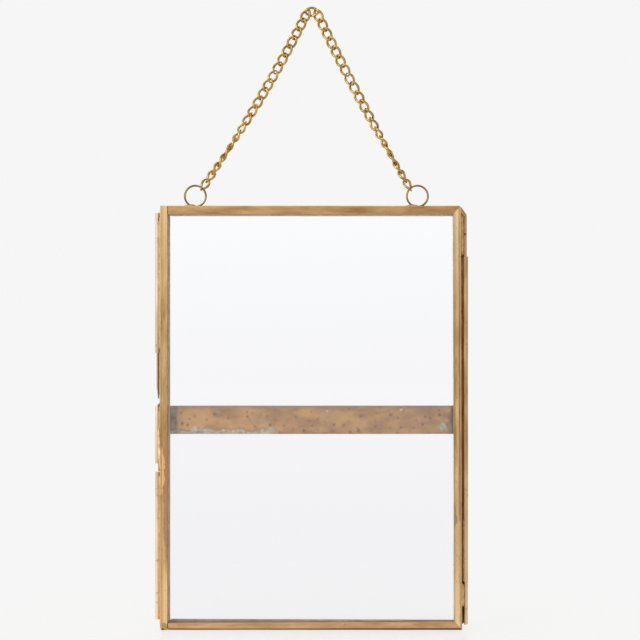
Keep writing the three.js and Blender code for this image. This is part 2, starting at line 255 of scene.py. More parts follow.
# Studio, in metres; a softbox has a name, a place, a place that it faces, a width and watts
BACKGROUND = "#f6f6f6"
THROUGH_GLASS_HIGH = "#fafbfd"
THROUGH_GLASS_LEVEL = "#f7f7f9"
THROUGH_GLASS_NEAR = "#f2f2f4"
FLOOR_PAPER = "#f0f0f0"
FLOOR_GLOW = 0.75
FLOOR_SHEEN = 0.3
FLOOR_SIZE = 6.0
FLOOR_BELOW = 0.2 * MM
SHADOW_REACH = (0.06, 0.22)
FAR_FLOOR = (0.2, 2.4)
STUDIO_WHITE = "#fdfbf8"
STUDIO_LIGHT_FROM = (-0.78, -0.3, 0.55)
STUDIO_TURN = 0.7
STUDIO_DIM = 0.1
BEHIND_FRAME = (0.05, 0.4)
HORIZON = (-0.03, 0.05)
SOFTBOXES = (
    ("key_softbox", (-0.6, -0.7, 0.15), (0, 0, -0.18), 0.5, 2.7),
    ("fill_softbox", (0.6, -0.6, 0.0), (0, 0, -0.18), 0.5, 0.6),
    ("top_softbox", (0.0, -0.1, 0.9), (0, 0, -0.28), 0.7, 1.0),
)


# Selecting and shaping, as by hand

def fresh():
    bpy.ops.object.select_all(action="DESELECT")


def take(piece):
    fresh()
    piece.select_set(True)
    bpy.context.view_layer.objects.active = piece
    return piece


def settle(piece):
    """Applies a piece's place, turn and scale to its mesh."""
    take(piece)
    bpy.ops.object.transform_apply(location=True, rotation=True, scale=True)
    return piece


def pick(kind, test):
    """Selects faces, edges or vertices of the mesh in edit mode by their place and direction."""
    bpy.ops.mesh.select_mode(type=kind)
    shell = bmesh.from_edit_mesh(bpy.context.edit_object.data)
    for group in (shell.verts, shell.edges, shell.faces):
        for item in group:
            item.select = False
    if kind == "FACE":
        for face in shell.faces:
            face.select = test(face.calc_center_median(), face.normal)
    elif kind == "EDGE":
        for edge in shell.edges:
            start, end = (v.co for v in edge.verts)
            edge.select = test((start + end) / 2, end - start)
    else:
        for vertex in shell.verts:
            vertex.select = test(vertex.co, vertex.normal)
    shell.select_flush_mode()
    bmesh.update_edit_mesh(bpy.context.edit_object.data)


def edit(piece):
    take(piece)
    bpy.ops.object.mode_set(mode="EDIT")


def leave():
    bpy.ops.object.mode_set(mode="OBJECT")


def lumps(piece, depth, length, seed):
    """Hand-made unevenness: moves the surface in and out over a given length."""
    take(piece)
    cloud = bpy.data.textures.new("unevenness", "CLOUDS")
    cloud.noise_scale = length
    cloud.noise_depth = 1
    place = bpy.data.objects.new("unevenness_place", None)
    bpy.context.scene.collection.objects.link(place)
    place.location = [step * seed for step in LUMP_SHIFT]
    bpy.context.view_layer.update()
    move = piece.modifiers.new("unevenness", "DISPLACE")
    move.texture = cloud
    move.texture_coords = "OBJECT"
    move.texture_coords_object = place
    move.strength = depth
    move.mid_level = 0.5
    bpy.ops.object.modifier_apply(modifier=move.name)
    bpy.data.objects.remove(place)


def cut(piece, point, outwards, fill=True):
    """Cuts a piece by a plane and throws away the side that the plane faces."""
    edit(piece)
    bpy.ops.mesh.select_all(action="SELECT")
    bpy.ops.mesh.bisect(plane_co=point, plane_no=outwards, use_fill=fill, clear_outer=True)
    leave()


def join(name, parts):
    take(parts[0])
    for part in parts:
        part.select_set(True)
    bpy.ops.object.join()
    whole = bpy.context.object
    whole.name = name
    whole.data.name = name
    return whole


def smooth(piece, degrees=SMOOTH_ANGLE):
    take(piece)
    bpy.ops.object.shade_smooth_by_angle(angle=math.radians(degrees))


def flatten(piece):
    """Keeps the broad faces flat beside their small round edges."""
    take(piece)
    even = piece.modifiers.new("even", "WEIGHTED_NORMAL")
    even.keep_sharp = True
    bpy.ops.object.modifier_apply(modifier=even.name)


# Colours and materials

def colour(code):
    """An sRGB hex colour as linear values."""
    parts = [int(code[i:i + 2], 16) / 255 for i in (1, 3, 5)]
    return [c / 12.92 if c <= 0.04045 else ((c + 0.055) / 1.055) ** 2.4 for c in parts] + [1.0]


def add(tree, kind, inputs, stops=(), **settings):
    """Adds a node with its settings and colour stops, and sets or links its inputs.

    A node that is given as an input stands for its first output in use.
    """
    node = tree.nodes.new("ShaderNode" + kind)
    for name, value in settings.items():
        setattr(node, name, value)
    for socket, value in inputs.items():
        if isinstance(value, bpy.types.Node):
            value = next(output for output in value.outputs if output.enabled)
        if isinstance(value, bpy.types.NodeSocket):
            tree.links.new(value, node.inputs[socket])
        else:
            node.inputs[socket].default_value = value
    for count, (place, code) in enumerate(stops):
        element = node.color_ramp.elements[count]
        element.position = place
        element.color = colour(code)
    return node


def new_material(name):
    """A material without nodes, and its node tree."""
    material = bpy.data.materials.new(name)
    material.use_nodes = True
    material.node_tree.nodes.clear()
    return material, material.node_tree


def aged_brass(
        name, light, dark, warm, sheen, grain=(1, 1, 1), pits=0.3, ends=(), light_bands=(), stains=(), dark_spots=()):
    """Sheet or wire brass, soldered and wiped by hand.

    The eye sees long wiped streaks, patches of heat colour, small dark pits and an uneven gloss. A long
    piece may be paler towards its upper and lower end, carry upright bands of painted shade and painted
    highlight, be stained by solder and have dark spots, which can be painted shadow.
    """
    material, tree = new_material(name)
    place = add(tree, "TexCoord", {}).outputs["Object"]
    along = add(tree, "Mapping", {"Vector": place, "Scale": grain})
    streak = add(tree, "TexNoise", {"Vector": along, "Scale": 1 / STREAK, "Detail": 4, "Roughness": 0.6})
    base = add(tree, "ValToRGB", {"Fac": streak}, [(0.34, dark), (0.64, light)])
    patch = add(tree, "TexNoise", {"Vector": along, "Scale": 1 / HEAT_PATCH, "Detail": 3})
    heat = add(tree, "MapRange", {"Value": patch, "From Min": 0.48, "From Max": 0.7, "To Max": 0.75})
    shade = add(tree, "Mix", {0: heat, 6: base, 7: colour(warm)}, data_type="RGBA")
    low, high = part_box("front_side_rail")
    middle = (low.z + high.z) / 2
    for (start, paler), end in zip(ends, (high.z, low.z)):
        parts = add(tree, "SeparateXYZ", {"Vector": place})
        near_end = add(tree, "MapRange", {
            "Value": parts.outputs["Z"], "From Min": middle + (end - middle) * start, "From Max": end,
            "To Max": 0.8})
        shade = add(tree, "Mix", {0: near_end, 6: shade, 7: colour(paler)}, data_type="RGBA")
    # Upright bands of painted shade and painted highlight
    for x, half, tint, share in light_bands:
        parts = add(tree, "SeparateXYZ", {"Vector": place})
        off = add(tree, "Math", {0: parts.outputs["X"], 1: x}, operation="SUBTRACT")
        away = add(tree, "Math", {0: off}, operation="ABSOLUTE")
        painted_band = add(tree, "MapRange", {
            "Value": away, "From Min": half, "From Max": 0.0, "To Max": share})
        shade = add(tree, "Mix", {0: painted_band, 6: shade, 7: colour(tint)}, data_type="RGBA")
    for spill in stains:
        shade = solder_stain(tree, place, shade, *spill)
    # Dark spots, which can be painted shadow
    for x, z, radius, stretch in dark_spots:
        flat = add(tree, "Mapping", {
            "Vector": place, "Location": (-x, 0, -z / stretch), "Scale": (1, 0, 1 / stretch)})
        away = add(tree, "VectorMath", {0: flat}, operation="LENGTH")
        darkened_spot = add(tree, "MapRange", {
            "Value": away, "From Min": radius, "From Max": DARK_SPOT_CORE * radius, "To Max": 0.85})
        shade = add(tree, "Mix", {0: darkened_spot, 6: shade, 7: colour(DARK_SPOT)}, data_type="RGBA")
    fine = add(tree, "TexNoise", {"Vector": place, "Scale": 1 / PIT, "Detail": 2})
    pit = add(tree, "MapRange", {"Value": fine, "From Min": 0.62, "From Max": 0.76, "To Max": pits})
    worn = add(tree, "Mix", {0: pit, 6: shade, 7: colour(PITTED)}, data_type="RGBA")
    gloss = add(tree, "MapRange", {"Value": streak, "To Min": sheen[1], "To Max": sheen[0]})
    skin = add(tree, "Bump", {"Strength": 0.3, "Distance": STREAK_RELIEF, "Height": streak})
    surface = add(tree, "BsdfPrincipled", {
        "Base Color": worn, "Metallic": 1.0, "Roughness": gloss, "Normal": skin})
    add(tree, "OutputMaterial", {"Surface": surface})
    return material


def ragged_place(tree, place, noise, shift):
    """A place that noise moves a little, so that what is drawn there has a ragged edge."""
    off = add(tree, "VectorMath", {0: noise.outputs["Color"], 1: (0.5, 0.5, 0.5)}, operation="SUBTRACT")
    off = add(tree, "VectorMath", {0: off, "Scale": shift}, operation="SCALE")
    return add(tree, "VectorMath", {0: place, 1: off}, operation="ADD")


def solder_stain(tree, place, shade, centre, half, paler):
    """A ragged stain where solder has run over a rail's face, with a brown line round it."""
    ragged = add(tree, "TexNoise", {"Vector": place, "Scale": 1 / SPILL_EDGE, "Detail": 3})
    moved = ragged_place(tree, place, ragged, SPILL_SHIFT)
    off = add(tree, "VectorMath", {0: moved, 1: centre}, operation="SUBTRACT")
    off = add(tree, "VectorMath", {0: off, 1: (1 / half[0], 0, 1 / half[1])}, operation="MULTIPLY")
    reach = add(tree, "VectorMath", {0: off}, operation="LENGTH")
    line = add(tree, "MapRange", {"Value": reach, "From Min": 1.3, "From Max": 1.0, "To Max": 0.6})
    inside = add(tree, "MapRange", {"Value": reach, "From Min": 1.05, "From Max": 0.85, "To Max": 0.9})
    lined = add(tree, "Mix", {0: line, 6: shade, 7: colour(STAIN_LINE)}, data_type="RGBA")
    return add(tree, "Mix", {0: inside, 6: lined, 7: colour(paler)}, data_type="RGBA")


def painted_fold_brass(name, light, dark, length, metal=0.7, dullness=0.6, right_shade=None):
    """Dull brass inside and under the folds, its tone painted for the light there: brown to grey, nearly
    without gloss.

    Pale tones are painted light that lifts shade; dark tones are painted shade. It may be painted darker
    towards the hinge side, a painted shade.
    """
    material, tree = new_material(name)
    place = add(tree, "TexCoord", {}).outputs["Object"]
    cloud = add(tree, "TexNoise", {"Vector": place, "Scale": 1 / length, "Detail": 4})
    shade = add(tree, "ValToRGB", {"Fac": cloud}, [(0.35, dark), (0.65, light)])
    # Painted shade: darker towards the hinge side
    if right_shade:
        parts = add(tree, "SeparateXYZ", {"Vector": place})
        darker_right = add(tree, "MapRange", {
            "Value": parts.outputs["X"], "From Min": RIGHT_SHADE_FROM, "From Max": RIGHT_SHADE_TO})
        shade = add(tree, "Mix", {0: darker_right, 6: shade, 7: colour(right_shade)}, data_type="RGBA")
    surface = add(tree, "BsdfPrincipled", {"Base Color": shade, "Metallic": metal, "Roughness": dullness})
    add(tree, "OutputMaterial", {"Surface": surface})
    return material


def run_solder(name, light, dark, dullness=0.42):
    """Soft solder that has run and set: lumpy, half bright, tinted by the brass below."""
    material, tree = new_material(name)
    place = add(tree, "TexCoord", {}).outputs["Object"]
    cloud = add(tree, "TexNoise", {"Vector": place, "Scale": 1 / SOLDER_CLOUD, "Detail": 4})
    base = add(tree, "ValToRGB", {"Fac": cloud}, [(0.35, dark), (0.65, light)])
    grit = add(tree, "TexNoise", {"Vector": place, "Scale": 1 / SOLDER_GRIT, "Detail": 3})
    skin = add(tree, "Bump", {"Strength": 0.4, "Distance": SOLDER_RELIEF, "Height": grit})
    surface = add(tree, "BsdfPrincipled", {
        "Base Color": base, "Metallic": 1.0, "Roughness": dullness, "Normal": skin})
    add(tree, "OutputMaterial", {"Surface": surface})
    return material


def strip_brass():
    """Dull brass left from soldering.

    The eye sees brown stains and specks, tin at both ends and along the upper edge, and pale dried flux
    along the lower edge and in drops.
    """
    material, tree = new_material("stained_strip_brass")
    low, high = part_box("cross_strip")
    middle = (low.z + high.z) / 2
    place = add(tree, "TexCoord", {}).outputs["Object"]
    along = add(tree, "Mapping", {"Vector": place, "Scale": STRIP_GRAIN})
    cloud = add(tree, "TexNoise", {
        "Vector": along, "Scale": 1 / STRIP_CLOUD, "Detail": 5, "Roughness": 0.62})
    base = add(tree, "ValToRGB", {"Fac": cloud}, [(0.38, "#9a6b32"), (0.6, "#c7964f")])
    patch = add(tree, "TexNoise", {"Vector": place, "Scale": 1 / STRIP_PATCH, "Detail": 3})
    pink = add(tree, "MapRange", {"Value": patch, "From Min": 0.5, "From Max": 0.68, "To Max": 0.4})
    stained = add(tree, "Mix", {0: pink, 6: base, 7: colour("#b9834f")}, data_type="RGBA")
    fine = add(tree, "TexNoise", {"Vector": place, "Scale": 1 / STRIP_GRIT, "Detail": 2})
    face = add(tree, "Mapping", {"Vector": place, "Rotation": (math.pi / 2, 0, 0)})
    cells = add(tree, "TexVoronoi", {"Vector": face, "Scale": 1 / SPECK_SPACING}, voronoi_dimensions="2D")
    tone = add(tree, "SeparateColor", {"Color": cells.outputs["Color"]})
    finer = add(tree, "MapRange", {"Value": tone.outputs["Green"], "To Min": 0.9, "To Max": 2.0})
    spot = add(tree, "Math", {0: cells, 1: finer}, operation="MULTIPLY")
    dot = add(tree, "MapRange", {"Value": spot, "From Min": 0.28, "From Max": 0.1})
    chosen = add(tree, "MapRange", {
        "Value": tone.outputs["Red"], "From Min": 0.2, "From Max": 0.6, "To Max": 0.9})
    speck = add(tree, "Math", {0: dot, 1: chosen}, operation="MULTIPLY")
    flecked = add(tree, "Mix", {0: speck, 6: stained, 7: colour("#6a462a")}, data_type="RGBA")

    # Tin, ragged at both ends and even along the upper edge
    ragged = add(tree, "TexNoise", {"Vector": place, "Scale": 1 / RAGGED_EDGE, "Detail": 4})
    moved = ragged_place(tree, place, ragged, RAGGED_SHIFT)
    parts = add(tree, "SeparateXYZ", {"Vector": moved})
    out = add(tree, "Math", {0: parts.outputs["X"]}, operation="ABSOLUTE")
    ends = add(tree, "MapRange", {"Value": out, "From Min": TIN_ENDS[0], "From Max": TIN_ENDS[1]})
    even = add(tree, "SeparateXYZ", {"Vector": place})
    upper = add(tree, "MapRange", {
        "Value": even.outputs["Z"], "From Min": middle + TIN_TOP[0], "From Max": middle + TIN_TOP[1],
        "To Max": 0.85})
    grey = add(tree, "ValToRGB", {"Fac": ragged}, [(0.4, "#74542c"), (0.62, "#a68d68")])
    topped = add(tree, "Mix", {0: upper, 6: flecked, 7: colour("#8b725c")}, data_type="RGBA")
    tinned = add(tree, "Mix", {0: ends, 6: topped, 7: grey}, data_type="RGBA")

    # Flux along the left part of the lower edge, with a brown line above it, and in drops
    reach = add(tree, "MapRange", {
        "Value": parts.outputs["X"], "From Min": FLUX_END[0], "From Max": FLUX_END[1]})
    line = add(tree, "MapRange", {
        "Value": parts.outputs["Z"], "From Min": middle + FLUX_SHORE[0],
        "From Max": middle + FLUX_SHORE[1], "To Max": 0.6})
    lower = add(tree, "MapRange", {
        "Value": parts.outputs["Z"], "From Min": middle + FLUX_CRUST[0],
        "From Max": middle + FLUX_CRUST[1]})
    shore = add(tree, "Math", {0: line, 1: reach}, operation="MULTIPLY")
    edged = add(tree, "Mix", {0: shore, 6: tinned, 7: colour("#86684a")}, data_type="RGBA")
    flux = add(tree, "Math", {0: lower, 1: reach}, operation="MULTIPLY")
    for x, up, radius in FLUX_DROPS:
        away = add(tree, "VectorMath", {0: moved, 1: (x, low.y, middle + up)}, operation="DISTANCE")
        drop = add(tree, "MapRange", {
            "Value": away, "From Min": DROP_EDGE[0] * radius, "From Max": DROP_EDGE[1] * radius})
        flux = add(tree, "Math", {0: flux, 1: drop}, operation="MAXIMUM")
    pale = add(tree, "ValToRGB", {"Fac": fine}, [(0.35, "#93826c"), (0.6, "#c9b9a2")])
    crusted = add(tree, "Mix", {0: flux, 6: edged, 7: pale}, data_type="RGBA")

    metal = add(tree, "MapRange", {"Value": flux, "To Min": 1.0, "To Max": 0.1})
    gloss = add(tree, "MapRange", {"Value": flux, "To Min": 0.55, "To Max": 0.8})
    height = add(tree, "Math", {0: flux, 1: speck}, operation="SUBTRACT")
    skin = add(tree, "Bump", {"Strength": 0.5, "Distance": STRIP_RELIEF, "Height": height})
    surface = add(tree, "BsdfPrincipled", {
        "Base Color": crusted, "Metallic": metal, "Roughness": gloss, "Normal": skin})
    add(tree, "OutputMaterial", {"Surface": surface})
    return material


def float_glass():
    """Thin clear float glass: lamps shine through it on what is behind."""
    material, tree = new_material("clear_float_glass")
    surface = add(tree, "BsdfPrincipled", {
        "Base Color": colour("#ffffff"), "Roughness": 0.02, "IOR": 1.5, "Transmission Weight": 1.0})
    clear = add(tree, "BsdfTransparent", {})
    path = add(tree, "LightPath", {})
    mixed = add(tree, "MixShader", {0: path.outputs["Is Shadow Ray"], 1: surface, 2: clear})
    add(tree, "OutputMaterial", {"Surface": mixed})
    return material


SIDE_BRASS = aged_brass(
    "wiped_side_brass", "#e0be8c", "#ac8556", "#c2996f", SATIN, UPRIGHT_GRAIN, 0.4,
    ends=((0.4, "#fbdfb2"), (0.4, "#ffdfb0")),
    # the dark and the pale band down the right upright are painted shade and painted highlight
    light_bands=((64.2 * MM, 1.3 * MM, "#8d7048", 0.5), (65.95 * MM, 0.6 * MM, "#f6d29e", 0.3)),
    stains=(((64.5 * MM, 0, -226.6 * MM), (0.9 * MM, 5 * MM), "#a38c6e"),
            ((67.6 * MM, 0, -254 * MM), (0.55 * MM, 30 * MM), "#c8a671")))
LATCH_BRASS = aged_brass(
    "soldered_side_brass", "#e0be8c", "#ac8556", "#c2996f", SATIN, UPRIGHT_GRAIN, 0.4,
    ends=((0.5, "#ebca98"), (0.0, "#ffd49c")),
    # the dark band along the left upright's outer edge is painted shade
    light_bands=((-68.2 * MM, 1.1 * MM, "#94703f", 0.5),),
    stains=(((-65.9 * MM, 0, -216 * MM), (1.2 * MM, 30 * MM), "#bb8a62"),
            ((-68.6 * MM, 0, -206.5 * MM), (1.9 * MM, 11.5 * MM), "#e8bf86"),
            ((-67.2 * MM, 0, -277.3 * MM), (1.8 * MM, 1.4 * MM), "#b89c66")),
    dark_spots=((-67.7 * MM, -278.4 * MM, 0.9 * MM, 0.7),))
# Darker brass for the left upright's outer fold: painted shade that dims the lamps' light there
EDGE_SHADE = aged_brass(
    "painted_shade_edge_brass", "#a98f68", "#80633f", "#917252", SATIN, UPRIGHT_GRAIN, 0.4,
    ends=((0.5, "#b4986f"), (0.0, "#d6b07c")))
END_BRASS = aged_brass("heat_tinted_brass", "#cda674", "#a47b4f", "#be8e6a", SATIN, LEVEL_GRAIN)
FOOT_BRASS = aged_brass("wiped_lower_brass", "#deb285", "#b4885c", "#cc9a74", SATIN, LEVEL_GRAIN)
HINGE_BRASS = aged_brass(
    "heated_hinge_brass", "#e0bd92", "#b2885f", "#c69672", DULL_SATIN, DRAWN_GRAIN, 0.5,
    ends=((0.5, "#c4a078"), (0.5, "#f0cfa8")),
    dark_spots=((69.7 * MM, -99.1 * MM, 0.6 * MM, 1.0), (68.7 * MM, -257.3 * MM, 0.8 * MM, 1.0)))
# Paler than the rails' brass: painted light on the catch-side tubes, in place of a lamp from the left
PAINTED_LIT_TUBE = aged_brass(
    "drawn_tube_brass_painted_lit", "#f0dfc8", "#d8be9d", "#e0c3a7", (0.62, 0.78), DRAWN_GRAIN, 0.45,
    ends=((0.5, "#ead7c0"), (0.0, "#ffe5c6")),
    # the long spot is painted shadow in the open, bevelled top of the front catch knuckle
    dark_spots=((-69.6 * MM, -92.2 * MM, 0.7 * MM, 2.6), (-69.75 * MM, -178.8 * MM, 0.35 * MM, 9.0)))
WIRE_BRASS = aged_brass(
    "handled_catch_wire", "#d8b27c", "#a8834f", "#bf9460", DULL_SATIN, DRAWN_GRAIN, 0.4)
CHAIN_BRASS = aged_brass("bright_chain_wire", "#d2b26a", "#a07e3b", "#b88846", (0.18, 0.3), pits=0.35)
RING_BRASS = aged_brass("aged_ring_wire", "#a48b5c", "#755f38", "#866a40", (0.25, 0.4))
# Pale fold tones: painted light that lifts the shade inside the channels and between the panes
FOLD_SHADE_LIFT = painted_fold_brass("shade_lifted_fold_brass", "#e0c19f", "#c8aa8b", 6 * MM)
PALER_FOLD_SHADE_LIFT = painted_fold_brass("paler_shade_lifted_fold", "#f0d6ba", "#e0c6ac", 6 * MM)
# Dark lip tone: a painted shadow line along the front lower bar's inner lip
LIP_SHADOW = painted_fold_brass("painted_shadow_lip", "#a08062", "#745a42", 12 * MM)
# A grey tone for the back leaf's lower margin, seen through the front pane
GREY_FOLD = painted_fold_brass("grey_fold_brass", "#9b948c", "#837a71", 6 * MM)
# Painted shade under the lower bar, darkest towards the hinge side; also on dark solder runs in the
# hinge's grooves
UNDER_SHADE = painted_fold_brass("painted_shade_under_edge", "#a88650", "#84622f", 25 * MM, 0.3, 0.85, "#2e1a08")
HINGE_SOLDER = run_solder("brassy_solder", "#d8ae7e", "#ae8356")
# Paler than the hinge side's solder: real pale solder in the smear, and a painted rim highlight in the
# beads and fill beside the catch tubes
PALE_SOLDER_AND_RIM_LIGHT = run_solder("pale_solder_and_painted_rim", "#f4d8ae", "#d2b084", 0.6)
STRIP_SOLDER = run_solder("tin_solder", "#b2a08a", "#80705c")
STRIP_BRASS = strip_brass()
GLASS = float_glass()


def dress(piece, *materials):
    piece.data.materials.clear()
    for material in materials:
        piece.data.materials.append(material)


def stand_for(piece, node, body):
    """The piece moves with a body and takes the place of a CAD node, which is hidden."""
    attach(piece, body)
    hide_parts(node)


# Channels round the panes

def block(name, low, high):
    fresh()
    low, high = Vector(low), Vector(high)
    bpy.ops.mesh.primitive_cube_add(size=1, location=(low + high) / 2)
    piece = bpy.context.object
    piece.name = name
    piece.scale = high - low
    return settle(piece)


def rod(x, y, low, high, radius, sides, ends="NGON"):
    """An upright round bar, or the outside of a tube when its ends have no fill."""
    fresh()
    bpy.ops.mesh.primitive_cylinder_add(
        vertices=sides, radius=radius, depth=high - low, end_fill_type=ends,
        location=(x, y, (low + high) / 2))
    return settle(bpy.context.object)


def divide_along(piece, axis, step):
    """Cuts a bar into short lengths, so that it can be uneven."""
    edit(piece)
    length = max(v.co[axis] for v in piece.data.vertices) - min(v.co[axis] for v in piece.data.vertices)
    pick("EDGE", lambda middle, way: abs(way[axis]) > 0.5 * length)
    bpy.ops.mesh.subdivide(number_cuts=int(length / step))
    leave()


def channel_bar(low, high, inner, finish, seed, margin=None, creased=False, taper=0.0):
    """One side of a leaf: a folded strip with round outer edges and a slot for the pane.

    The back leaf's strips have a margin in another tone, which shows through the front pane. A taper
    makes a strip wider towards the hinge, or narrower when it is negative.
    """
    low, high, inner = Vector(low), Vector(high), Vector(inner)
    size = high - low
    along = 0 if size.x > size.z else 2
    width = size[2 - along]
    middle = (low + high) / 2
    bar = block("bar", low, high)
    edit(bar)
    pick("FACE", lambda place, normal: normal.dot(inner) > FACING)
    bpy.ops.mesh.inset(thickness=CHANNEL_LIP)
    bpy.ops.mesh.extrude_region_move(TRANSFORM_OT_translate={"value": -inner * (width - CHANNEL_WALL)})
    fold = SIDE_FOLD if along == 2 else END_FOLD
    for edge, radius, steps in ((-1, fold, FOLD_STEPS), (1, LIP_EDGE, LIP_STEPS)):
        pick("EDGE", lambda place, way: (place - middle).dot(inner) * edge > NEARLY_HALF * width
             and abs(way[along]) > 0.5 * size[along])
        bpy.ops.mesh.bevel(offset=radius, segments=steps, affect="EDGES")
    if margin:
        bpy.ops.mesh.select_all(action="SELECT")
        bpy.ops.mesh.bisect(plane_co=middle + inner * (width / 2 - MARGIN_WIDTH), plane_no=inner)
    crease = middle - inner * (width / 2 - CREASE_FROM_EDGE)
    if creased:
        mark_crease(crease, inner)
        pick("VERT", lambda place, normal: place.z < middle.z)
        bpy.ops.transform.translate(value=-inner * HINGE_SIDE_LEAN)
    if taper:
        pick("VERT", lambda place, normal: place.x > middle.x and (place - middle).dot(inner) > 0)
        bpy.ops.transform.translate(value=inner * taper)
    leave()
    divide_along(bar, along, CHANNEL_STEP)
    if creased:
        press_crease(bar, crease.x, high.z, size.z)
    lumps(bar, CHANNEL_WAVE, CHANNEL_WAVE_LENGTH, seed)
    dress(bar, finish)
    # Inner faces take the pale fold tone, painted light in their shade
    paint_faces(bar, FOLD_SHADE_LIFT, lambda place, normal: normal.dot(inner) > FACING)
    if margin:
        paint_faces(bar, margin, lambda place, normal: normal.y < -FACING
              and (place - middle).dot(inner) > width / 2 - MARGIN_WIDTH)
    return bar


def mark_crease(point, across):
    """Cuts the three lines that a crease needs along a bar."""
    for side in (-CREASE_HALF, 0, CREASE_HALF):
        bpy.ops.mesh.select_all(action="SELECT")
        bpy.ops.mesh.bisect(plane_co=point + across * side, plane_no=across)


def press_crease(bar, x, top, height):
    """Presses a fine line into the front of the leaning upright, down to where solder fills it."""
    def on_crease(place, normal):
        down = (top - place.z) / height
        on_line = abs(place.x - x - down * HINGE_SIDE_LEAN) < ON_LINE
        return on_line and normal.y < -CREASE_FACING and down < CREASE_SHARE

    edit(bar)
    pick("VERT", on_crease)
    bpy.ops.transform.translate(value=(0, CREASE_DEPTH, 0))
    leave()


def paint_faces(piece, finish, test):
    """Gives some faces of a bar another finish, which paints the light and shade on them."""
    if finish.name not in piece.data.materials:
        piece.data.materials.append(finish)
    edit(piece)
    pick("FACE", test)
    piece.active_material_index = piece.data.materials.find(finish.name)
    bpy.ops.object.material_slot_assign()
    leave()


def solder_run(x, y, low, high, radius, lump, seed, finish):
    """A lumpy bead of solder, upright, with drawn-in ends."""
    bead = rod(x, y, low, high, radius, BEAD_SIDES)
    divide_along(bead, 2, BEAD_STEP)
    edit(bead)
    pick("VERT", lambda place, normal: min(place.z - low, high - place.z) < BEAD_END)
    bpy.ops.transform.resize(value=(BEAD_END_SHARE, BEAD_END_SHARE, 1.0))
    leave()
    lumps(bead, lump, SOLDER_LUMP_LENGTH, seed)
    dress(bead, finish)
    return bead


def solder_blob(place, half, steps, tilt=0.0):
    """A blob of solder, still even, by its half sizes."""
    fresh()
    bpy.ops.mesh.primitive_uv_sphere_add(
        segments=steps[0], ring_count=steps[1], radius=1, location=place, rotation=(0, tilt, 0))
    blob = bpy.context.object
    blob.scale = half
    return settle(blob)


